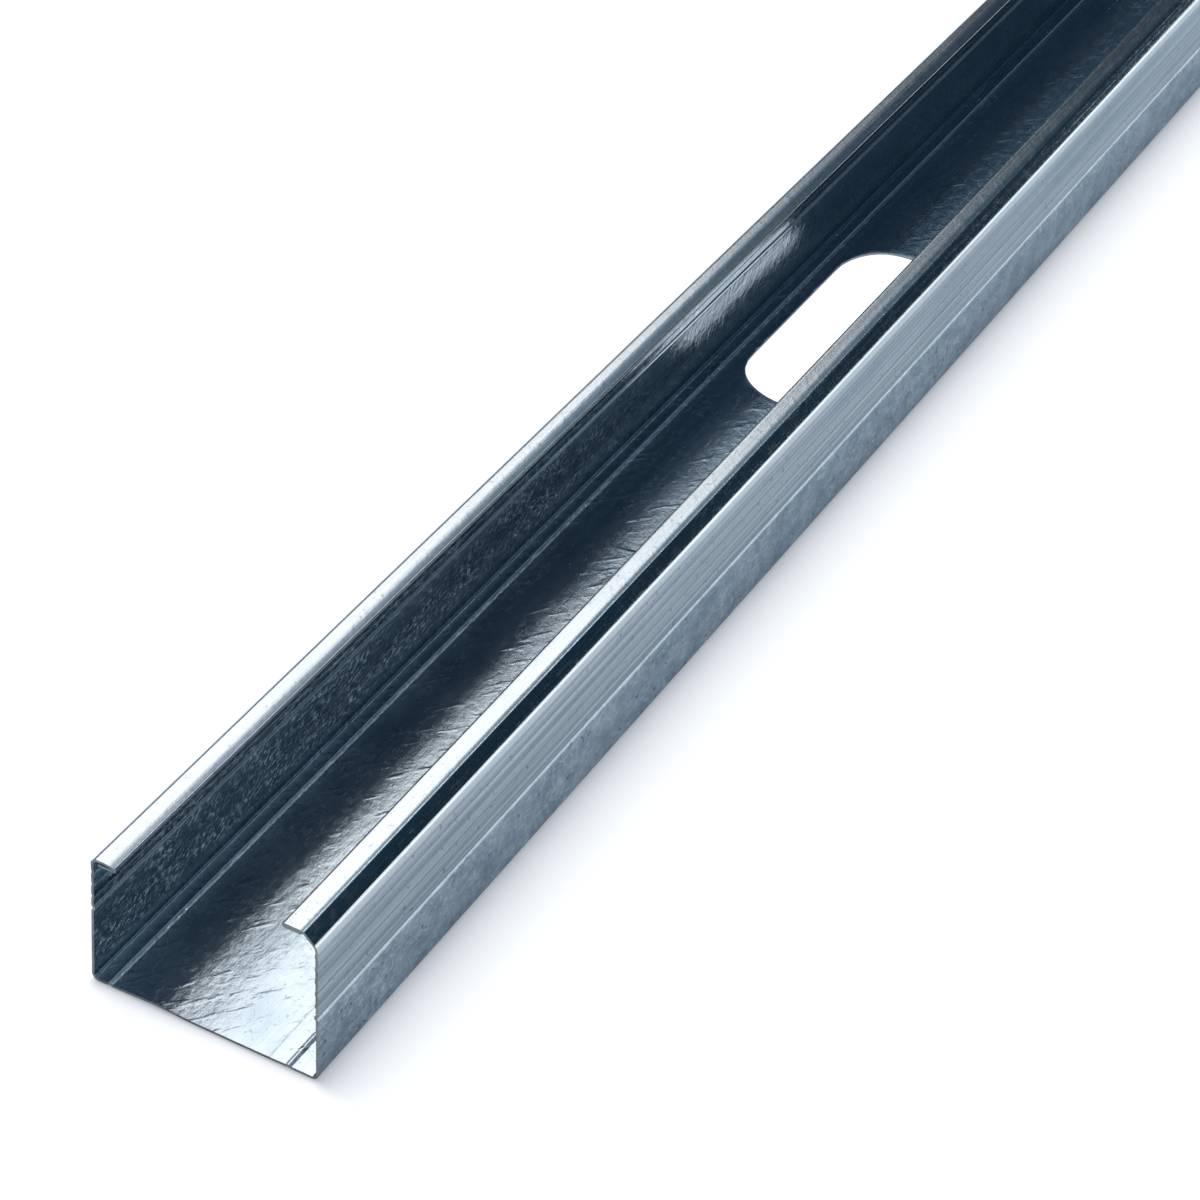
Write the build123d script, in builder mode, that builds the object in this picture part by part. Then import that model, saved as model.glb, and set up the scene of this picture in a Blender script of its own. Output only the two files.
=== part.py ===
from build123d import *
import os

os.makedirs("parts", exist_ok=True)

# Overall sizes in millimetres; each flange leans in by its toe-in at the lip
stock_length = 2438.4
web_width = 63.5
left_flange_height = 39.0
right_flange_height = 45.0
left_toe_in = 1.2
right_toe_in = 0.5
sheet_thickness = 0.7

# Bends: outside radius at the web, the bevel beside each lip, and the outside
# radius where the right flange rounds over into its bevel
corner_radius = 2.0
left_bevel = 1.0
right_bevel = 3.45
shoulder_radius = 3.5
soft_radius = 0.6

# Lips: flat width beyond the bevel, with the edge folded back under itself
lip_flat = 6.1
hem_length = 4.4

# Ribs and grooves rolled along the sheet
left_rib_inset = 5.15
right_rib_inset = 7.95
rib_half_width = 0.8
rib_depth = 0.5
left_groove_height = 23.1
right_groove_height = 19.8
flute_pitch = 3.8
flute_half_width = 0.9
flute_depth = 0.2
flute_margin = 4.5

# Service holes along the middle of the web
hole_width = 43.2
hole_length = 94.7
hole_corner_radius = 18.0
first_hole = 351.5
hole_count = 4

# Sizes that follow from those above
half_sheet = sheet_thickness / 2
wall_line = web_width / 2 - half_sheet
corner_line_radius = corner_radius - half_sheet
shoulder_line_radius = shoulder_radius - half_sheet
left_rib_centre = left_rib_inset - web_width / 2
right_rib_centre = web_width / 2 - right_rib_inset
punch_reach = 2 * sheet_thickness
hole_pitch = (stock_length - 2 * first_hole) / (hole_count - 1)


def rib_across_web(centre):
    """Three points that lift the web's line into a rib."""
    return [
        (centre - rib_half_width, half_sheet),
        (centre, half_sheet + rib_depth),
        (centre + rib_half_width, half_sheet),
    ]


def from_middle(height, inward, top, toe_in):
    """How far the flange's line is from the web's middle, with the flange toed in."""
    lean = toe_in * (height - half_sheet) / (top - half_sheet)
    return wall_line - lean - inward


def crease_up_flange(height, half_width, depth):
    """Three distances up the flange, each with how far the line moves inward."""
    return [(height - half_width, 0), (height, depth), (height + half_width, 0)]


def flange_creases(groove_height, flange_height, bevel):
    """The deep groove and the shallow flutes above it, from the web up."""
    creases = crease_up_flange(groove_height, rib_half_width, rib_depth)
    flute_height = groove_height + flute_pitch
    while flute_height < flange_height - bevel - flute_margin:
        creases += crease_up_flange(flute_height, flute_half_width, flute_depth)
        flute_height += flute_pitch
    return creases


left_tip = web_width / 2 - left_toe_in - left_bevel - lip_flat
right_tip = web_width / 2 - right_toe_in - right_bevel - lip_flat
left_top = left_flange_height - half_sheet
right_top = right_flange_height - half_sheet
left_creases = flange_creases(left_groove_height, left_flange_height, left_bevel)
right_creases = flange_creases(right_groove_height, right_flange_height, right_bevel)

# Middle line of the sheet, from the left lip's tip round to the right lip's tip
left_side = [
    (-left_tip - sheet_thickness, left_top),
    (-from_middle(left_top, left_bevel, left_top, left_toe_in), left_top),
]
left_creases += [(left_top - left_bevel, 0)]
left_side += [
    (-from_middle(height, inward, left_top, left_toe_in), height)
    for height, inward in reversed(left_creases)
]
web = [(-wall_line, half_sheet)]
web += rib_across_web(left_rib_centre)
web += rib_across_web(right_rib_centre)
web += [(wall_line, half_sheet)]
right_side = [
    (from_middle(height, inward, right_top, right_toe_in), height)
    for height, inward in right_creases
]
shoulder_height = right_top - right_bevel
shoulder = (from_middle(shoulder_height, 0, right_top, right_toe_in), shoulder_height)
right_side += [
    shoulder,
    (from_middle(right_top, right_bevel, right_top, right_toe_in), right_top),
    (right_tip + sheet_thickness, right_top),
]
middle_line = left_side + web + right_side

# The two web corners and the shoulder have wide bends; every other bend is soft
wide_bends = {
    web[0]: corner_line_radius,
    web[-1]: corner_line_radius,
    shoulder: shoulder_line_radius,
}
bend_radii = [wide_bends.get(point, soft_radius) for point in middle_line[1:-1]]

# Each lip's second layer: which side, how far its tip is from the middle, its top
folded_edges = [
    (-1, left_tip, left_flange_height),
    (1, right_tip, right_flange_height),
]

with BuildPart() as stud:
    with BuildSketch(Plane.XZ) as section:
        with BuildLine() as sheet_line:
            FilletPolyline(*middle_line, radius=bend_radii)
            offset(amount=half_sheet)
        make_face()
        for side, tip, top in folded_edges:
            with BuildLine():
                Line(
                    (side * (tip + sheet_thickness), top - sheet_thickness),
                    (side * (tip + hem_length), top - sheet_thickness),
                )
                offset(amount=sheet_thickness)
            make_face()
    extrude(amount=stock_length / 2, both=True)

    with BuildSketch(Plane.XY) as service_holes:
        with GridLocations(0, hole_pitch, 1, hole_count):
            RectangleRounded(hole_width, hole_length, hole_corner_radius)
    extrude(amount=punch_reach, both=True, mode=Mode.SUBTRACT)

stud.part.label = "stud"
export_step(stud.part, "parts/stud.step")
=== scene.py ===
import math
from types import SimpleNamespace

import bmesh
import bpy
from mathutils import Matrix, Vector, noise


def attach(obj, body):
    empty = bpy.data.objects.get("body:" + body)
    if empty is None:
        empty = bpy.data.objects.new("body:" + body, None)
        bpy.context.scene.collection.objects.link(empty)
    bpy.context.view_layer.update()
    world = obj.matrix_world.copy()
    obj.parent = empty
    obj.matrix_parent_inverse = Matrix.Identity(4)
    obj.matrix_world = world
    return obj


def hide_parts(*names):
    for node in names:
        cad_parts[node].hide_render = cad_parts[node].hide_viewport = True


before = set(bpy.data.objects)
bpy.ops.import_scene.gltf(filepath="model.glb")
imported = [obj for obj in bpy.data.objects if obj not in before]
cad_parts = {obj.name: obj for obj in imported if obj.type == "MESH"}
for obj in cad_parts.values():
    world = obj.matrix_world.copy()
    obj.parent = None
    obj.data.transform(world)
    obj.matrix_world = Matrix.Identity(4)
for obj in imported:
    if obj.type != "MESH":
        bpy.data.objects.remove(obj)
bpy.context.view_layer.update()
print("packed stud loaded")

mm = 0.001

# the rolled section in millimetres; bends are measured on the sheet's middle line
section = {
    "length": 2438.4,
    "webWidth": 63.5,
    "thickness": 0.7,
    "left": {
        "height": 39.0,
        "toeIn": 1.2,            # how far the flange leans in at its lip
        "groove": 23.1,          # the height of its deep groove
        "bevel": 1.0,
        "bevelBend": 0.6,        # where the flange turns into its bevel
        "bevelSteps": 3,
        "tipFall": (1.8, 0.45),  # how much of the lip stays level, and how far its tip falls
        "bevelFall": (0, 0),     # and the same from the tip towards the bevel
    },
    "right": {
        "height": 45.0,
        "toeIn": 0.5,
        "groove": 19.8,
        "bevel": 3.45,
        "bevelBend": 3.15,
        "bevelSteps": 10,
        "tipFall": (0, 0),
        "bevelFall": (3.8, 0.22),
    },
    "cornerBend": 1.65,
    "cornerSteps": 6,
    "softBend": 0.6,             # every other bend but the flutes'
    "softSteps": 3,
    "creaseSteps": 2,
    "creaseTip": 0.8,            # a crease's bottom bends this much tighter than its sides
    "ribHalf": 0.8,              # half widths and depths of the left rib and the deep grooves
    "ribDepth": 0.5,
    "leftRibInset": 5.15,
    "rightRibInset": 7.95,
    # the right rib starts at a fine crease: from its centre, above the web, bend, steps
    "rightRib": (
        (-5.9, 0, 0.3, 1),
        (-5.7, 0.05, 0.3, 2),
        (-5.5, 0.005, 0.3, 1),
        (-1.1, 0.08, 0.3, 2),
        (-0.4, 0.26, 0.35, 3),
        (0.6, 0, 0.6, 2),
    ),
    "flutePitch": 3.8,
    "fluteHalf": 0.9,
    "fluteDepth": 0.22,
    "fluteBend": 0.8,
    "fluteMargin": 2.4,          # the least plain flange above the last flute
    "lipFlat": 6.1,
    "lipStrips": 8,
    "hemGap": 0.01,
    "hemLength": 5.0,
    "hemStrips": 3,
    "foldSteps": 6,
    "widestStrip": 3.6,          # flat runs are divided into strips no wider than this
    "rowStep": 16.0,             # the rows of faces along the stud
    "sharpAngle": 38,            # degrees; flatter edges are shaded smooth
}

serviceHoles = {
    "width": 43.2,
    "length": 94.7,
    "corner": 18.0,
    "first": 351.5,              # from the stud's end to the middle of the first hole
    "count": 4,
    "border": 5.0,               # plain sheet meshed round each hole's ends
    "sideBorder": 1.0,           # and beside its long edges
    "rowStep": 5.0,
    "rings": 3,
}

waves = {
    "web": 0.14,                 # the greatest height of the sheet's waves
    "flange": 0.07,
    "lip": 0.0,
    "webReach": 30.0,            # the web's waves end this far from its middle
    "lipDepth": {"left": 3.0, "right": 4.0},    # what is this near a flange's top is lip
    "across": 0.045,             # waves for each millimetre
    "along": 0.016,
    "seed": 7.3,
    "finer": (2.3, 0.5),         # the second layer's scale and share
    "middle": 0.45,              # how high the sheet stands where the noise is 0
    "gain": 0.6,                 # and how much of the noise is added
    "crown": 0.45,               # the web's left half arches up this much
    "crownAt": -13.5,
    "crownReach": 11.5,
}

# where the rollers rubbed the sheet, which also gets a painted highlight there along its bends, ribs and
# shoulder: lowest and highest x and z, and how much
rubHighlights = (
    (-32.0, -29.0, 22.3, 24.0, 0.9),
    (-31.7, -30.9, 0.5, 1.3, 1.0),
    (-26.9, -26.3, 0.6, 1.5, 1.0),
    (30.0, 32.0, 18.9, 19.6, 0.75),
    (30.0, 32.0, 38.9, 41.9, 0.75),
)

half = section["thickness"] / 2
holeSide = serviceHoles["width"] / 2 + serviceHoles["sideBorder"]
hair = 0.01                      # millimetres; places this close count as the same


def bendPoints(before, corner, after, radius, steps):
    # the arc that takes the place of one corner
    a, b, c = Vector(before), Vector(corner), Vector(after)
    toA, toC = (a - b).normalized(), (c - b).normalized()
    opening = toA.angle(toC) / 2
    centre = b + (toA + toC).normalized() * radius / math.sin(opening)
    reach = radius / math.tan(opening)
    first, last = b + toA * reach - centre, b + toC * reach - centre
    sweep = first.angle(last)
    points = []
    for i in range(steps + 1):
        t = i / steps
        spoke = (first * math.sin((1 - t) * sweep) + last * math.sin(t * sweep)) / math.sin(sweep)
        points.append(centre + spoke)
    return points


def creasesUp(side):
    # the deep groove and the flutes above it: height, half width, depth, bend
    creases = [(side["groove"], section["ribHalf"], section["ribDepth"], section["softBend"])]
    z = side["groove"] + section["flutePitch"]
    while z < side["height"] - side["bevel"] - section["fluteMargin"]:
        creases.append((z, section["fluteHalf"], section["fluteDepth"], section["fluteBend"]))
        z += section["flutePitch"]
    return creases


def sideCorners(side):
    # from the web's corner up to the bevel, x measured outwards: x, z, bend, steps
    wall = section["webWidth"] / 2 - half
    top = side["height"] - half
    shoulder = top - side["bevel"]

    def lean(z):
        return wall - side["toeIn"] * (z - half) / (top - half)

    corners = [(wall, half, section["cornerBend"], section["cornerSteps"])]
    steps = section["creaseSteps"]
    for centre, halfWidth, depth, bend in creasesUp(side):
        corners.append((lean(centre - halfWidth), centre - halfWidth, bend, steps))
        corners.append((lean(centre) - depth, centre, bend * section["creaseTip"], steps))
        corners.append((lean(centre + halfWidth), centre + halfWidth, bend, steps))
    corners.append((lean(shoulder), shoulder, side["bevelBend"], side["bevelSteps"]))
    corners.append((lean(top) - side["bevel"], top - side["bevelFall"][1],
                    section["softBend"], section["softSteps"]))
    return corners


def lipPoints(side):
    # from the bevel over the lip and round the hem, x measured outwards
    top = side["height"] - half
    start = section["webWidth"] / 2 - half - side["toeIn"] - side["bevel"]
    tip = section["webWidth"] / 2 - side["toeIn"] - side["bevel"] - section["lipFlat"]
    foldRadius = half + section["hemGap"] / 2
    end = tip + half + foldRadius
    width = start - end

    def fall(distance, level, drop):
        return drop * (max(0, distance - level) / (width - level)) ** 2

    points = []
    for i in range(1, section["lipStrips"] + 1):
        x = start + (end - start) * i / section["lipStrips"]
        z = top - fall(start - x, *side["tipFall"]) - fall(x - end, *side["bevelFall"])
        points.append(Vector((x, z)))
    foldCentre = points[-1] - Vector((0, foldRadius))
    for i in range(1, section["foldSteps"] + 1):
        angle = math.radians(90 + 180 / section["foldSteps"] * i)
        points.append(foldCentre + Vector((math.cos(angle), math.sin(angle))) * foldRadius)
    under = points[-1].y
    for i in range(1, section["hemStrips"] + 1):
        points.append(Vector((end + (tip + section["hemLength"] - end) * i / section["hemStrips"], under)))
    return points


def webRibs():
    leftRib = section["leftRibInset"] - section["webWidth"] / 2
    rightRib = section["webWidth"] / 2 - section["rightRibInset"]
    bend, steps = section["softBend"], section["creaseSteps"]
    ribs = [
        (leftRib - section["ribHalf"], half, bend, steps),
        (leftRib, half + section["ribDepth"], bend, section["softSteps"]),
        (leftRib + section["ribHalf"], half, bend, steps),
    ]
    return ribs + [(rightRib + x, half + z, bend, steps) for x, z, bend, steps in section["rightRib"]]


def mirrored(points):
    return [(-p[0], *p[1:]) for p in points][::-1]


def sheetLine():
    # the sheet's middle line, from the left hem's edge round to the right hem's edge
    corners = mirrored(sideCorners(section["left"])) + webRibs() + sideCorners(section["right"])
    leftLip = [Vector(p) for p in mirrored(lipPoints(section["left"]))]
    rightLip = lipPoints(section["right"])
    flow = [leftLip[-1]] + [corner[:2] for corner in corners] + [rightLip[0]]
    line = list(leftLip)
    for i, (x, z, bend, steps) in enumerate(corners):
        line += bendPoints(flow[i], (x, z), flow[i + 2], bend, steps)
    return line + rightLip


def divided(line, widest):
    # long flat runs get points between their ends, and the web one beside each edge of the holes
    finer = [line[0]]
    for a, b in zip(line, line[1:]):
        beside = [x for x in (-holeSide, holeSide) if a.x < x < b.x and a.y < section["thickness"]]
        for stop in [a.lerp(b, (x - a.x) / (b.x - a.x)) for x in beside] + [b]:
            start = finer[-1]
            parts = max(1, math.ceil((stop - start).length / widest))
            finer += [start.lerp(stop, (i + 1) / parts) for i in range(parts)]
    return finer


# how much rub, with its painted highlight, a point of the section gets
def rubHighlightAt(point):
    amounts = [amount for lowX, highX, lowZ, highZ, amount in rubHighlights
               if lowX < point.x < highX and lowZ < point.y < highZ]
    return max(amounts, default=0.0)


def studColumns(line):
    # what the mesh needs to know at each point of the line
    webTop = section["thickness"] + section["ribDepth"] + hair
    leftLip = section["left"]["height"] - waves["lipDepth"]["left"]
    rightLip = section["right"]["height"] - waves["lipDepth"]["right"]
    leftEnd = max(i for i, point in enumerate(line) if point.x < 0 and point.y > leftLip)
    rightStart = min(i for i, point in enumerate(line) if point.x > 0 and point.y > rightLip)
    columns = []
    across = 0.0
    for i, point in enumerate(line):
        before, after = line[max(i - 1, 0)], line[min(i + 1, len(line) - 1)]
        flow = after - before
        across += (point - before).length
        if i <= leftEnd or i >= rightStart:
            kind = "lip"
        elif point.y < webTop and abs(point.x) < waves["webReach"]:
            kind = "web"
        else:
            kind = "flange"
        columns.append(SimpleNamespace(point=point, inward=Vector((-flow.y, flow.x)).normalized(),
                                       across=across, kind=kind, rubHighlight=rubHighlightAt(point)))
    return columns


def rowPlaces():
    # where the rows of faces lie along the stud, and where each hole's patch starts and ends
    start = -section["length"] / 2
    pitch = (section["length"] - 2 * serviceHoles["first"]) / (serviceHoles["count"] - 1)
    reach = serviceHoles["length"] / 2 + serviceHoles["border"]
    stops, patches = [start], []
    for i in range(serviceHoles["count"]):
        centre = start + serviceHoles["first"] + i * pitch
        patches.append(SimpleNamespace(centre=centre, start=centre - reach, end=centre + reach))
        stops += [centre - reach, centre + reach]
    stops.append(-start)
    rows = [start]
    for i, (a, b) in enumerate(zip(stops, stops[1:])):
        step = serviceHoles["rowStep"] if i % 2 else section["rowStep"]
        parts = math.ceil((b - a) / step)
        rows += [a + (b - a) * (j + 1) / parts for j in range(parts)]
    return rows, patches


def onHoleEdge(x, y):
    # the hole's outline nearest to a point outside it, measured from the hole's centre
    straightX = serviceHoles["width"] / 2 - serviceHoles["corner"]
    straightY = serviceHoles["length"] / 2 - serviceHoles["corner"]
    core = Vector((max(-straightX, min(straightX, x)), max(-straightY, min(straightY, y))))
    return core + (Vector((x, y)) - core).normalized() * serviceHoles["corner"]


def waveAt(x, across, along, kind):
    # how far the sheet stands in from its true plane at one place
    arch = 0
    if kind == "web":
        reach = max(-1, min(1, (x - waves["crownAt"]) / waves["crownReach"]))
        arch = waves["crown"] * (0.5 + 0.5 * math.cos(math.pi * reach))
    place = Vector((across * waves["across"], along * waves["along"], waves["seed"]))
    scale, share = waves["finer"]
    ripple = noise.noise(place) + share * noise.noise(place * scale)
    return arch + waves[kind] * max(0, min(1, waves["middle"] + waves["gain"] * ripple))


def startSheet():
    # what the grid and the rings share; flat keeps each corner's place on the flat sheet
    columns = studColumns(divided(sheetLine(), section["widestStrip"]))
    rows, patches = rowPlaces()
    holed = [i for i, c in enumerate(columns) if c.kind == "web" and abs(c.point.x) < holeSide + hair]
    bm = bmesh.new()
    return SimpleNamespace(bm=bm, rubHighlight=bm.verts.layers.float.new("rubHighlight"), flat={}, grid={},
                           columns=columns, rows=rows, patches=patches, first=holed[0], last=holed[-1])


def layCorner(sheet, column, along):
    lift = waveAt(column.point.x, column.across, along, column.kind)
    place = column.point + column.inward * lift
    vert = sheet.bm.verts.new((place.x * mm, along * mm, place.y * mm))
    vert[sheet.rubHighlight] = column.rubHighlight
    sheet.flat[vert] = (column.across * mm, along * mm)
    return vert


def layGrid(sheet):
    # columns along the stud and rows across it, with a gap for each hole's patch
    def inPatch(y, margin):
        return any(patch.start + margin < y < patch.end - hair for patch in sheet.patches)

    for i, column in enumerate(sheet.columns):
        for j, y in enumerate(sheet.rows):
            if not (sheet.first < i < sheet.last and inPatch(y, hair)):
                sheet.grid[i, j] = layCorner(sheet, column, y)
    for i in range(len(sheet.columns) - 1):
        for j in range(len(sheet.rows) - 1):
            if not (sheet.first <= i < sheet.last and inPatch(sheet.rows[j], -hair)):
                square = ((i, j), (i, j + 1), (i + 1, j + 1), (i + 1, j))
                sheet.bm.faces.new([sheet.grid[spot] for spot in square])


def layRings(sheet, patch):
    # rings of faces from the patch's edge in to its hole, whose rim is rubbed and given a painted
    # highlight
    rings, edge = serviceHoles["rings"], sheet.columns[sheet.first]
    inRows = [j for j, y in enumerate(sheet.rows) if patch.start - hair < y < patch.end + hair]
    low, high = inRows[0], inRows[-1]
    loop = [(i, low) for i in range(sheet.first, sheet.last)]
    loop += [(sheet.last, j) for j in range(low, high)]
    loop += [(i, high) for i in range(sheet.last, sheet.first, -1)]
    loop += [(sheet.first, j) for j in range(high, low, -1)]
    ring = [sheet.grid[spot] for spot in loop]
    for step in range(1, rings + 1):
        inner = []
        for i, j in loop:
            far = Vector((sheet.columns[i].point.x, sheet.rows[j] - patch.centre))
            spot = far.lerp(onHoleEdge(*far), step / rings)
            column = SimpleNamespace(point=Vector((spot.x, half)), inward=Vector((0, 1)), kind="web",
                                     across=edge.across + spot.x - edge.point.x,
                                     rubHighlight=1.0 if step == rings else 0.0)
            inner.append(layCorner(sheet, column, spot.y + patch.centre))
        for a in range(len(loop)):
            b = (a + 1) % len(loop)
            sheet.bm.faces.new((ring[a], inner[a], inner[b], ring[b]))
        ring = inner


def buildStud():
    # the sheet's middle surface, which takes its thickness later
    sheet = startSheet()
    layGrid(sheet)
    for patch in sheet.patches:
        layRings(sheet, patch)
    rolled = sheet.bm.loops.layers.uv.new("rolled")
    for face in sheet.bm.faces:
        for loop in face.loops:
            loop[rolled].uv = sheet.flat[loop.vert]
    mesh = bpy.data.meshes.new("rolledStud")
    sheet.bm.to_mesh(mesh)
    sheet.bm.free()
    made = bpy.data.objects.new("rolledStud", mesh)
    bpy.context.scene.collection.objects.link(made)
    return made


# each steel in the order of the mesh's material slots; colours are linear, relief is in millimetres
steels = {
    "flangeSteel": {             # the flanges' outer faces and the underside
        "pale": (0.36, 0.405, 0.435),
        "dark": (0.17, 0.21, 0.24),
        "edge": (0.68, 0.75, 0.81),     # what it mirrors at a low angle
        "rubHighlightColour": (0.66, 0.73, 0.78),
        "smooth": 0.12,          # roughness of the plain sheet
        "dull": 0.20,            # and of its dashes
        "endWear": 0.0,          # how much rougher it is towards the stud's ends
        "chalk": 0.0,            # how far the dashes have dried to a powdery zinc
        # the scuffs are real relief with painted glints and painted shaded sides in their colour
        "scuffs": 0.0,           # how strong the scuffs near the stud's ends are
        "haze": 0.03,            # the thin bluish bloom of new zinc
        "dashes": (1.0, 3.4),    # their size across and along the sheet, in millimetres
        "clouds": (12, 40),
        "mottle": 0.12,          # how much paler the dashes are
        "streaks": 0.75,         # how much of the tone runs along the sheet
        "dimples": 0.04,         # this and the next three are heights
        "ripples": 0.01,
        "dents": 0.02,
        "lines": 0.06,
        "specks": 0.5,
        "hairlines": 0.1,
    },
    "insideSteel": {             # the web's open side
        "pale": (0.372, 0.418, 0.45),
        "dark": (0.225, 0.275, 0.315),
        "edge": (0.92, 0.95, 0.97),
        "rubHighlightColour": (0.70, 0.84, 0.95),
        "smooth": 0.17,
        "dull": 0.25,
        "endWear": 0.03,
        "chalk": 0.0,
        "scuffs": 0.0,
        "haze": 0.10,
        "dashes": (1.3, 2.8),
        "clouds": (12, 22),
        "mottle": 0.12,
        "streaks": 0.3,
        "dimples": 0.09,
        "ripples": 0.01,
        "dents": 0.07,
        "lines": 0.01,
        "specks": 0.3,
        "hairlines": 0.2,
    },
    "cutEdge": {
        "pale": (0.24, 0.27, 0.28),
        "dark": (0.10, 0.12, 0.13),
        "edge": (0.40, 0.43, 0.44),
        "rubHighlightColour": (0.24, 0.27, 0.28),
        "smooth": 0.35,
        "dull": 0.5,
        "endWear": 0.0,
        "chalk": 0.0,
        "scuffs": 0.0,
        "haze": 0.0,
        "dashes": (0.5, 0.5),
        "clouds": (3, 3),
        "mottle": 0.2,
        "streaks": 0.3,
        "dimples": 0.03,
        "ripples": 0.0,
        "dents": 0.0,
        "lines": 0.0,
        "specks": 0.0,
        "hairlines": 0.0,
    },
    "wallSteel": {               # the flanges' inner faces
        "pale": (0.34, 0.42, 0.49),
        "dark": (0.22, 0.28, 0.33),
        "edge": (0.97, 0.98, 0.99),
        "rubHighlightColour": (0.80, 0.91, 0.98),
        "smooth": 0.12,
        "dull": 0.20,
        "endWear": 0.04,
        "chalk": 0.0,
        "scuffs": 1.0,
        "haze": 0.03,
        "dashes": (1.5, 3.2),
        "clouds": (6, 14),
        "mottle": 0.2,
        "streaks": 0.35,
        "dimples": 0.12,
        "ripples": 0.05,
        "dents": 0.0,
        "lines": 0.03,
        "specks": 0.4,
        "hairlines": 0.0,
    },
    "lipSteel": {                # the lips' tops and bevels
        "pale": (0.385, 0.42, 0.45),
        "dark": (0.28, 0.315, 0.345),
        "edge": (0.71, 0.755, 0.80),
        "rubHighlightColour": (0.66, 0.73, 0.78),
        "smooth": 0.18,
        "dull": 0.22,
        "endWear": 0.02,
        "chalk": 0.0,
        "scuffs": 0.0,
        "haze": 0.0,
        "dashes": (0.8, 5.0),
        "clouds": (5, 40),
        "mottle": 0.10,
        "streaks": 0.5,
        "dimples": 0.02,
        "ripples": 0.0,
        "dents": 0.01,
        "lines": 0.02,
        "specks": 0.25,
        "hairlines": 0.1,
    },
    "footSteel": {               # the flanges' outer faces below the groove
        "pale": (0.38, 0.44, 0.49),
        "dark": (0.13, 0.17, 0.215),
        "edge": (0.66, 0.74, 0.82),
        "rubHighlightColour": (0.66, 0.73, 0.78),
        "smooth": 0.14,
        "dull": 0.24,
        "endWear": 0.0,
        "chalk": 0.08,
        "scuffs": 0.0,
        "haze": 0.0,
        "dashes": (1.1, 2.0),
        "clouds": (5, 8),
        "mottle": 0.45,
        "streaks": 0.15,
        "dimples": 0.10,
        "ripples": 0.03,
        "dents": 0.04,
        "lines": 0.01,
        "specks": 0.8,
        "hairlines": 0.2,
    },
}

# the noises of every steel: sizes are millimetres across and along, turns are degrees, and
# the limits are the values of the noise that become 0 and 1, or the two that "to" gives
grains = {
    "fineStreaks": {"size": (0.9, 210)},
    "broadStreaks": {"size": (2.8, 320), "shift": 6.1},
    "lines": {"size": (0.6, 120), "detail": 1.0, "shift": 4.1},
    "clouds": {"detail": 3.0, "shift": 1.7, "limits": (0.3, 0.7)},
    "blotches": {"size": (9, 24), "shift": 5.2, "limits": (0.36, 0.62), "to": (0.45, 1.0)},
    "dashes": {"detail": 2.5, "roughness": 0.6, "shift": 3.3, "limits": (0.52, 0.62)},
    "ripples": {"size": (6, 1.5), "shift": 2.9, "turn": 8, "limits": (0.50, 0.66)},
    "rippleAreas": {"size": (12, 30), "shift": 6.9, "limits": (0.42, 0.60)},
    "scuffs": {"size": (0.9, 2.2), "roughness": 0.7, "shift": 3.9, "turn": -24, "limits": (0.50, 0.60)},
    "scuffAreas": {"size": (5, 9), "shift": 2.6, "limits": (0.36, 0.60), "to": (0.2, 1.0)},
    "dimples": {"size": (2.3, 2.9), "detail": 3.0, "roughness": 0.6, "shift": 9.2},
    "dents": {"size": (3.0, 11), "shift": 8.1, "turn": 38, "limits": (0.56, 0.74)},
    "grit": {"size": (0.7, 0.7), "shift": 2.2},
    "specks": {"size": (1.4, 1.8), "detail": 1.0, "shift": 6.4, "limits": (0.69, 0.74)},
    "contours": {"size": (7, 12), "shift": 7.7, "bend": 1.6},
}

# what else the steels share: their streaks, marks and rubbed places with painted highlights, and the wear
# and the scuffs with painted glints and shade near the stud's ends
wear = {
    "fineShare": 0.6,            # the fine streaks' share, and the broad ones'
    "broadShare": 0.4,
    "streakTone": (0.38, 0.62),  # the streaks' values that are darkest and palest
    "streakDull": ((0.4, 0.7), 0.05),    # and that are smoothest and roughest, and by how much
    "rippleShare": 0.7,          # how much the ripples count beside the dashes
    "hairline": 0.012,           # how wide the hairlines are
    # the dark of the specks and hairlines, and of the painted dent shadow
    "markAndShadowColour": (0.03, 0.04, 0.055),
    # a rubbed place is a real rub with a painted highlight on it; the next three set its edge, metal and
    # roughness
    "rubEdge": 3.0,              # how sharply a rubbed place ends
    "rubMetal": 0.3,             # how much less like bare metal it is
    "rubShine": 0.5,             # what is left of its roughness
    "endReach": (0.42, 0.12),    # metres from the stud's ends: where the wear starts, and is full
    # the scuffs near the ends: real relief, with painted glints (pale) and painted shaded sides (dark) in
    # their colour
    "scuffGlintReach": (0.32, 0.22),
    "scuffGlintHeight": (3.0, 6.0),   # millimetres above the floor: where the scuffs start, and are full
    "scuffShadeColour": (0.07, 0.11, 0.15),
    "scuffGlintColour": (1.0, 1.0, 1.0),
    "scuffRelief": 0.03,
    "gritRelief": 0.012,
    "hazeTint": (0.28, 0.60, 1.0),
}

# the painted shadow of a short dent across the web, which is not modelled in the relief, in millimetres: x
# and y of its ends
dentShadow = {
    "left": (-11.9, -1004.3),
    "right": (3.0, -1000.8),
    "halfWidth": 0.75,
    "taper": 6.0,                # it narrows over this length to its left end
    "soft": 0.5,                 # how much of its width is edge
}

# where one steel ends and the next begins
zones = {
    "wallDepth": 1.75,           # faces this near the web's sides belong to the flanges
    "level": 0.9,                # faces whose normal points up more than this are level
}


def add(tree, kind, inputs=None, **settings):
    # one shader node with its settings and its inputs, which are values or other sockets
    node = tree.nodes.new("ShaderNode" + kind)
    for name, value in settings.items():
        setattr(node, name, value)
    for name, value in (inputs or {}).items():
        if isinstance(value, bpy.types.NodeSocket):
            tree.links.new(value, node.inputs[name])
        else:
            node.inputs[name].default_value = value
    return node


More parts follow.
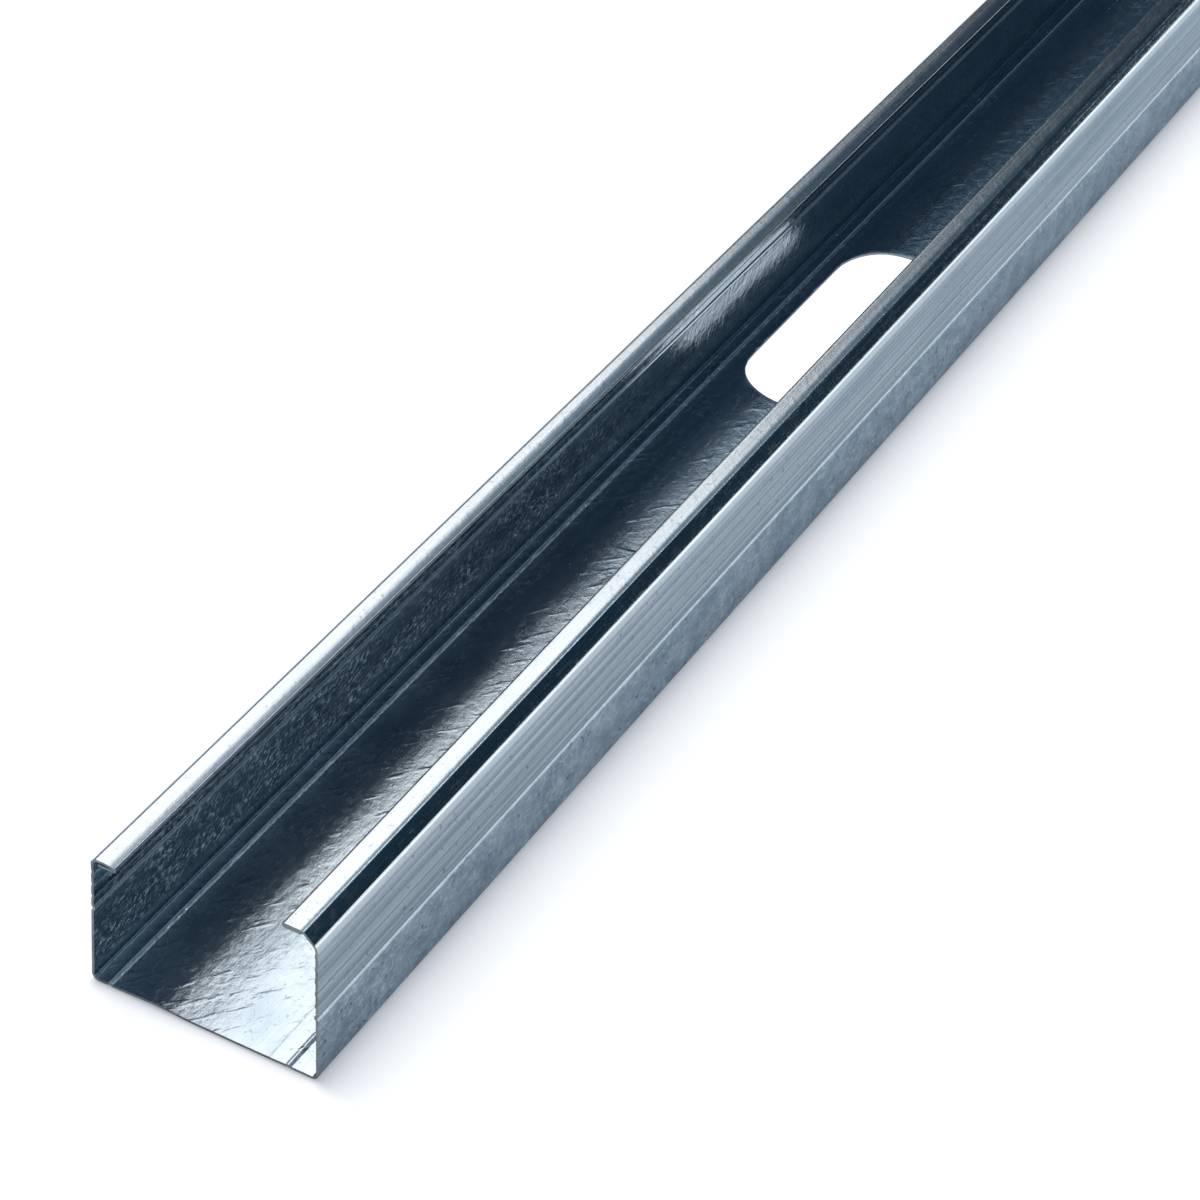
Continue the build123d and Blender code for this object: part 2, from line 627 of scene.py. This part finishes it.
def calc(tree, operation, a, b=0.0):
    return add(tree, "Math", {0: a, 1: b}, operation=operation).outputs[0]


def plus(tree, first, second, share):
    # the first value with a share of the second added to it
    return calc(tree, "ADD", first, calc(tree, "MULTIPLY", second, share))


def ramp(tree, value, low, high, toLow=0.0, toHigh=1.0):
    node = add(tree, "MapRange", {"Value": value, "From Min": low, "From Max": high,
                                  "To Min": toLow, "To Max": toHigh})
    return node.outputs["Result"]


def mixed(tree, factor, a, b, kind="RGBA"):
    return add(tree, "Mix", {"Factor": factor, "A": a, "B": b}, data_type=kind).outputs["Result"]


def objectPlace(tree):
    return add(tree, "SeparateXYZ", {"Vector": add(tree, "TexCoord").outputs["Object"]}).outputs


def rgba(colour):
    return (*colour, 1)


def emptyMaterial(name):
    material = bpy.data.materials.new(name)
    material.use_nodes = True
    material.node_tree.nodes.clear()
    return material, material.node_tree


def shown(tree, shader):
    tree.links.new(shader.outputs[0], add(tree, "OutputMaterial").inputs[0])


def grain(tree, place, size, detail=2.0, roughness=0.5, shift=0.0, turn=0, bend=0.0,
          limits=None, to=(0.0, 1.0)):
    # noise on the rolled sheet, turned by some degrees and stretched between its limits
    turned = place
    if turn:
        turned = add(tree, "VectorRotate", {"Vector": place, "Angle": math.radians(turn)},
                     rotation_type="Z_AXIS").outputs["Vector"]
    scaled = add(tree, "Mapping", {
        "Vector": turned,
        "Location": (shift, shift, shift),
        "Scale": (1 / (size[0] * mm), 1 / (size[1] * mm), 1),
    })
    cloudy = add(tree, "TexNoise", {
        "Vector": scaled.outputs["Vector"],
        "Scale": 1.0,
        "Detail": detail,
        "Roughness": roughness,
        "Distortion": bend,
    }).outputs["Fac"]
    return ramp(tree, cloudy, *limits, *to) if limits else cloudy


def fromEnd(tree, along, reach):
    # rises from 0 to 1 towards the stud's ends, between two distances from them
    end = section["length"] / 2 * mm
    return ramp(tree, along, end - reach[0], end - reach[1])


def steelMasks(tree, look):
    # where the sheet is streaked, worn, rubbed with a painted highlight, scuffed with painted glints and
    # shaded sides, and marked
    place = add(tree, "UVMap", uv_map="rolled").outputs["UV"]
    sized = {"clouds": {"size": look["clouds"]}, "dashes": {"size": look["dashes"]}}
    m = SimpleNamespace(**{name: grain(tree, place, **values, **sized.get(name, {}))
                           for name, values in grains.items()})
    m.streaks = plus(tree, calc(tree, "MULTIPLY", m.fineStreaks, wear["fineShare"]),
                     m.broadStreaks, wear["broadShare"])
    m.ripples = calc(tree, "MULTIPLY", m.ripples, m.rippleAreas)
    m.scuffs = calc(tree, "MULTIPLY", m.scuffs, m.scuffAreas)
    rippled = calc(tree, "MULTIPLY", m.ripples, wear["rippleShare"])
    m.worn = calc(tree, "MULTIPLY", calc(tree, "MAXIMUM", m.dashes, rippled), m.blotches)
    rubHighlightLevel = add(tree, "Attribute", attribute_name="rubHighlight").outputs["Fac"]
    m.rubHighlight = calc(tree, "POWER", rubHighlightLevel, wear["rubEdge"])
    m.plain = calc(tree, "SUBTRACT", 1.0, rubHighlightLevel)
    contour = calc(tree, "ABSOLUTE", calc(tree, "SUBTRACT", m.contours, 0.5))
    m.hairlines = calc(tree, "MULTIPLY", ramp(tree, contour, 0.0, wear["hairline"], 1.0, 0.0), m.blotches)
    m.along = calc(tree, "ABSOLUTE", add(tree, "SeparateXYZ", {"Vector": place}).outputs["Y"])
    m.nearEnd = calc(tree, "MULTIPLY", fromEnd(tree, m.along, wear["scuffGlintReach"]), look["scuffs"])
    low, high = wear["scuffGlintHeight"]
    m.nearEnd = calc(tree, "MULTIPLY", m.nearEnd, ramp(tree, objectPlace(tree)["Z"], low * mm, high * mm))
    return m


# the painted shadow of a dent on the web, as a mask
def dentShadowMark(tree):
    spot = objectPlace(tree)
    (leftX, leftY), (rightX, rightY) = dentShadow["left"], dentShadow["right"]
    line = ramp(tree, spot["X"], leftX * mm, rightX * mm, leftY * mm, rightY * mm)
    away = calc(tree, "ABSOLUTE", calc(tree, "SUBTRACT", spot["Y"], line))
    width = ramp(tree, spot["X"], leftX * mm, (leftX + dentShadow["taper"]) * mm, 0.0, dentShadow["halfWidth"] * mm)
    neverZero = calc(tree, "ADD", width, 1e-6)
    core = calc(tree, "SUBTRACT", 1.0, calc(tree, "DIVIDE", away, neverZero))
    started = calc(tree, "GREATER_THAN", spot["X"], leftX * mm)
    return calc(tree, "MULTIPLY", ramp(tree, core, 0.0, dentShadow["soft"]), started)


def steelColour(tree, look, m, dentShadowed):
    streaky = calc(tree, "MULTIPLY", ramp(tree, m.streaks, *wear["streakTone"]), look["streaks"])
    tone = plus(tree, streaky, m.clouds, 1 - look["streaks"])
    tone = mixed(tree, look["mottle"], tone, m.worn, "FLOAT")
    colour = mixed(tree, tone, rgba(look["dark"]), rgba(look["pale"]))
    # painted glints (pale) and their painted shaded sides (dark) in the scuffs near the ends
    glintedScuffColour = mixed(tree, m.scuffs, rgba(wear["scuffShadeColour"]), rgba(wear["scuffGlintColour"]))
    colour = mixed(tree, m.nearEnd, colour, glintedScuffColour)
    # a painted highlight: rubbed places take a paler colour, beside the rub's real change of metal and
    # roughness
    colour = mixed(tree, m.rubHighlight, colour, rgba(look["rubHighlightColour"]))
    specks = calc(tree, "MULTIPLY", calc(tree, "MULTIPLY", m.specks, look["specks"]), m.plain)
    marksAndShadow = calc(tree, "MAXIMUM", specks, calc(tree, "MULTIPLY", m.hairlines, look["hairlines"]))
    # the painted dent shadow on the web's open side takes the marks' dark colour
    if dentShadowed:
        marksAndShadow = calc(tree, "MAXIMUM", marksAndShadow, dentShadowMark(tree))
    return mixed(tree, marksAndShadow, colour, rgba(wear["markAndShadowColour"]))


def steelRoughness(tree, look, m):
    streakLimits, streakShare = wear["streakDull"]
    rough = plus(tree, ramp(tree, m.worn, 0.0, 1.0, look["smooth"], look["dull"]),
                 ramp(tree, m.streaks, *streakLimits), streakShare)
    rough = plus(tree, rough, fromEnd(tree, m.along, wear["endReach"]), look["endWear"])
    return calc(tree, "MULTIPLY", rough, ramp(tree, m.rubHighlight, 0.0, 1.0, 1.0, wear["rubShine"]))


def steelRelief(tree, look, m):
    height = calc(tree, "MULTIPLY", m.dimples, look["dimples"])
    height = plus(tree, height, m.lines, look["lines"])
    height = plus(tree, height, m.dents, look["dents"])
    height = plus(tree, height, m.ripples, look["ripples"])
    height = plus(tree, height, m.grit, wear["gritRelief"])
    height = plus(tree, height, calc(tree, "MULTIPLY", m.scuffs, m.nearEnd), wear["scuffRelief"])
    height = calc(tree, "MULTIPLY", height, m.plain)
    return add(tree, "Bump", {"Strength": 1.0, "Distance": mm, "Height": height}).outputs["Normal"]


def galvanised(name, look):
    material, tree = emptyMaterial(name)
    m = steelMasks(tree, look)
    dulled = plus(tree, calc(tree, "MULTIPLY", m.rubHighlight, wear["rubMetal"]), m.worn, look["chalk"])
    shown(tree, add(tree, "BsdfPrincipled", {
        "Base Color": steelColour(tree, look, m, name == "insideSteel"),
        "Metallic": calc(tree, "SUBTRACT", 1.0, dulled),
        "Roughness": steelRoughness(tree, look, m),
        "Specular Tint": rgba(look["edge"]),
        "Sheen Weight": look["haze"],
        "Sheen Roughness": 1.0,
        "Sheen Tint": rgba(wear["hazeTint"]),
        "Normal": steelRelief(tree, look, m),
    }))
    return material


def thicken(stud):
    # the outer skin keeps the first steel, the inner skin takes the second and the cut edges the third
    sheet = stud.modifiers.new("sheet", "SOLIDIFY")
    sheet.thickness = section["thickness"] * mm
    sheet.offset = 0
    sheet.use_even_offset = True
    sheet.material_offset = 1
    sheet.material_offset_rim = 2
    bpy.context.view_layer.objects.active = stud
    bpy.ops.object.modifier_apply(modifier=sheet.name)
    stud.data.shade_smooth()
    stud.data.set_sharp_from_angle(angle=math.radians(section["sharpAngle"]))


def sortFaces(stud):
    # the flanges' inner faces, their feet and the lips have steels of their own
    slots = {name: i for i, name in enumerate(steels)}
    wallStart = section["webWidth"] / 2 - zones["wallDepth"]
    lipStart = section["left"]["height"] - section["left"]["bevel"]
    for face in stud.data.polygons:
        side, height = abs(face.center.x) / mm, face.center.z / mm
        groove = section["right" if face.center.x > 0 else "left"]["groove"]
        if face.material_index == slots["insideSteel"] and side > wallStart:
            face.material_index = slots["wallSteel"]
        elif face.material_index == slots["flangeSteel"]:
            if face.normal.z > zones["level"] and height > lipStart:
                face.material_index = slots["lipSteel"]
            elif side > wallStart and height < groove:
                face.material_index = slots["footSteel"]


stud = buildStud()
for name, look in steels.items():
    stud.data.materials.append(galvanised(name, look))
thicken(stud)
sortFaces(stud)
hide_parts("stud")
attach(stud, "root")
print("stud ready:", len(stud.data.polygons), "faces")

photoView = {
    "from": (0.3377, -1.70088, 0.58431),                # metres
    "towards": (-0.355554, 0.706654, -0.611735),        # a direction
    "roll": 3.983,               # degrees
    "lens": 105.32,              # millimetres, as is the sensor
    "sensor": 36,
    "nearest": 0.05,
}

# in metres from here on; the floor glows only for the camera and for mirrors, so it lights nothing
studio = {
    "floorSize": 60.0,
    "floorDrop": 0.0002,         # it lies this far under the stud
    "floorColour": (0.585, 0.60, 0.63),
    # the lower glow beside the stud is a painted shadow, shaped by the reach, left and ends values below
    "paintedShadowGlow": 0.24,          # its glow right beside the stud
    "glowAway": 0.66,            # and away from it
    "glowReach": 0.007,          # how fast it rises
    "glowLeft": 0.03,            # to the left the shadow starts this far out of sight
    "glowEnds": 3.0,             # past the stud's ends it rises this much faster
    # painted light: the floor under the stud glows full through the service holes, though the stud shades
    # it
    "paintedLightUnder": 1.0,            # what shows through the service holes
    "underInset": 0.002,
    "world": (0.60, 0.65, 0.70),
}

softboxes = {
    "keySoftbox": {
        "place": (-2.5, 1.78, 4.0),
        "aimedAt": (0.0, -1.1, 0.0),
        "size": (2.9, 2.9),
        "colour": (1.0, 0.945, 0.90),
        "brightness": 2.75,
    },
    "topSoftbox": {
        "place": (-2.2, -0.8, 4.4),
        "aimedAt": (0.0, -0.6, 0.0),
        "size": (3.6, 5.0),
        "colour": (1.0, 0.96, 0.92),
        "brightness": 0.9,
    },
    "sliverSoftbox": {           # the light lines along the bends and the ribs
        "place": (0.44, 1.95, 4.1),
        "aimedAt": (0.0, -1.1, 0.0),
        "size": (0.38, 1.8),
        "colour": (0.86, 0.95, 1.0),
        "brightness": 5.5,
    },
    "stripSoftbox": {            # the taller flange's outer face
        "place": (3.3, 2.6, 0.56),
        "aimedAt": (0.0, -0.9, 0.1),
        "size": (5.0, 1.1),
        "colour": (1.0, 0.94, 0.88),
        "brightness": 2.4,
    },
}

# curved dark cloths that only the steel mirrors; angles are in degrees from straight ahead
screens = {
    "darkScreen": {"start": -19.0, "end": 78.0, "tall": 8.5},
    "lowScreen": {"start": -60.0, "end": -19.0, "tall": 2.8},
}

cloth = {
    "centre": (0.0, -1.1),
    "radius": 5.4,
    "columns": 60,
    "levels": 40,
    "low": (0.018, 0.050, 0.080),
    "high": (0.36, 0.46, 0.53),
    "side": (0.19, 0.36, 0.52),
    "topFade": (3.65, 5.4),      # the heights between which it turns from low to high
    "sideFade": (-17.0, -5.0),   # the angles between which its left edge turns from side to high
    "sideAbove": (3.3, 4.2),     # the side colour shows only above these heights
}


def buildCamera():
    data = bpy.data.cameras.new("photoCamera")
    data.lens = photoView["lens"]
    data.sensor_width = photoView["sensor"]
    data.clip_start = photoView["nearest"]
    camera = bpy.data.objects.new("photoCamera", data)
    aim = Vector(photoView["towards"]).to_track_quat("-Z", "Y").to_matrix()
    turn = Matrix.Rotation(math.radians(photoView["roll"]), 3, "Z")
    camera.matrix_world = Matrix.Translation(photoView["from"]) @ (aim @ turn).to_4x4()
    bpy.context.scene.collection.objects.link(camera)
    bpy.context.scene.camera = camera


def stageObject(name, bm):
    mesh = bpy.data.meshes.new(name)
    bm.to_mesh(mesh)
    bm.free()
    made = bpy.data.objects.new(name, mesh)
    bpy.context.scene.collection.objects.link(made)
    return made


def floorGlow(tree):
    # dimmed beside the stud, a painted shadow added to its real one, and full under the service holes,
    # painted light where the stud shades the floor
    where = objectPlace(tree)
    halfWidth, halfLength = section["webWidth"] / 2 * mm, section["length"] / 2 * mm
    besideX = calc(tree, "SUBTRACT", calc(tree, "ABSOLUTE", where["X"]), halfWidth)
    besideY = calc(tree, "SUBTRACT", calc(tree, "ABSOLUTE", where["Y"]), halfLength)
    leftward = calc(tree, "MULTIPLY", calc(tree, "LESS_THAN", where["X"], -halfWidth), studio["glowLeft"])
    away = add(tree, "CombineXYZ", {
        "X": calc(tree, "ADD", calc(tree, "MAXIMUM", besideX, 0.0), leftward),
        "Y": calc(tree, "MULTIPLY", calc(tree, "MAXIMUM", besideY, 0.0), studio["glowEnds"]),
    })
    gap = add(tree, "VectorMath", {0: away.outputs[0]}, operation="LENGTH").outputs["Value"]
    shade = calc(tree, "EXPONENT", calc(tree, "DIVIDE", gap, -studio["glowReach"]))
    beside = ramp(tree, shade, 0.0, 1.0, studio["glowAway"], studio["paintedShadowGlow"])
    # painted light under the stud, seen through the holes
    under = calc(tree, "LESS_THAN", calc(tree, "MAXIMUM", besideX, besideY), -studio["underInset"])
    return mixed(tree, under, beside, studio["paintedLightUnder"], "FLOAT")


def paleFloor():
    material, tree = emptyMaterial("paleFloor")
    rays = add(tree, "LightPath").outputs
    seen = calc(tree, "ADD", rays["Is Camera Ray"], rays["Is Glossy Ray"])
    seen = calc(tree, "MINIMUM", calc(tree, "ADD", seen, rays["Is Transmission Ray"]), 1.0)
    glow = add(tree, "Emission", {
        "Color": (1, 1, 1, 1),
        "Strength": calc(tree, "MULTIPLY", seen, floorGlow(tree)),
    })
    paint = add(tree, "BsdfDiffuse", {"Color": rgba(studio["floorColour"])})
    both = add(tree, "AddShader")
    tree.links.new(paint.outputs[0], both.inputs[0])
    tree.links.new(glow.outputs[0], both.inputs[1])
    shown(tree, both)
    return material


def buildFloor():
    bm = bmesh.new()
    reach, low = studio["floorSize"] / 2, -studio["floorDrop"]
    corners = ((-reach, -reach), (reach, -reach), (reach, reach), (-reach, reach))
    bm.faces.new([bm.verts.new((x, y, low)) for x, y in corners])
    stageObject("floor", bm).data.materials.append(paleFloor())


def buildLamps():
    for name, box in softboxes.items():
        data = bpy.data.lights.new(name, "AREA")
        data.shape = "RECTANGLE"
        data.size, data.size_y = box["size"]
        data.color = box["colour"]
        data.energy = box["brightness"] * math.pi * box["size"][0] * box["size"][1]
        lamp = bpy.data.objects.new(name, data)
        lamp.location = box["place"]
        aim = Vector(box["aimedAt"]) - Vector(box["place"])
        lamp.rotation_euler = aim.to_track_quat("-Z", "Y").to_euler()
        lamp.visible_camera = False
        bpy.context.scene.collection.objects.link(lamp)


def eased(value, low, high):
    t = max(0.0, min(1.0, (value - low) / (high - low)))
    return t * t * (3 - 2 * t)


def clothMaterial(name):
    material, tree = emptyMaterial(name)
    top = add(tree, "Attribute", attribute_name="topLight").outputs["Fac"]
    side = add(tree, "Attribute", attribute_name="sideLight").outputs["Fac"]
    colour = mixed(tree, top, rgba(cloth["low"]), rgba(cloth["high"]))
    colour = mixed(tree, side, colour, rgba(cloth["side"]))
    shown(tree, add(tree, "Emission", {"Color": colour, "Strength": 1.0}))
    material.cycles.emission_sampling = "NONE"
    return material


def buildScreen(name, screen):
    bm = bmesh.new()
    topLight = bm.verts.layers.float.new("topLight")
    sideLight = bm.verts.layers.float.new("sideLight")
    grid = {}
    for i in range(cloth["columns"] + 1):
        degrees = screen["start"] + (screen["end"] - screen["start"]) * i / cloth["columns"]
        angle = math.radians(degrees)
        x = cloth["centre"][0] + cloth["radius"] * math.sin(angle)
        y = cloth["centre"][1] + cloth["radius"] * math.cos(angle)
        beside = 1 - eased(degrees, *cloth["sideFade"])
        for j in range(cloth["levels"] + 1):
            z = screen["tall"] * j / cloth["levels"]
            grid[i, j] = bm.verts.new((x, y, z))
            grid[i, j][topLight] = eased(z, *cloth["topFade"])
            grid[i, j][sideLight] = beside * eased(z, *cloth["sideAbove"])
    for i in range(cloth["columns"]):
        for j in range(cloth["levels"]):
            bm.faces.new((grid[i, j], grid[i + 1, j], grid[i + 1, j + 1], grid[i, j + 1]))
    made = stageObject(name, bm)
    made.data.materials.append(clothMaterial(name + "Cloth"))
    made.visible_camera = False
    made.visible_shadow = False
    made.visible_diffuse = False


def buildWorld():
    world = bpy.data.worlds.new("studioWorld")
    bpy.context.scene.world = world
    world.use_nodes = True
    world.node_tree.nodes["Background"].inputs["Color"].default_value = rgba(studio["world"])


buildCamera()
buildFloor()
buildLamps()
for name, screen in screens.items():
    buildScreen(name, screen)
buildWorld()
bpy.context.scene.view_settings.view_transform = "Standard"
print("camera and studio ready")
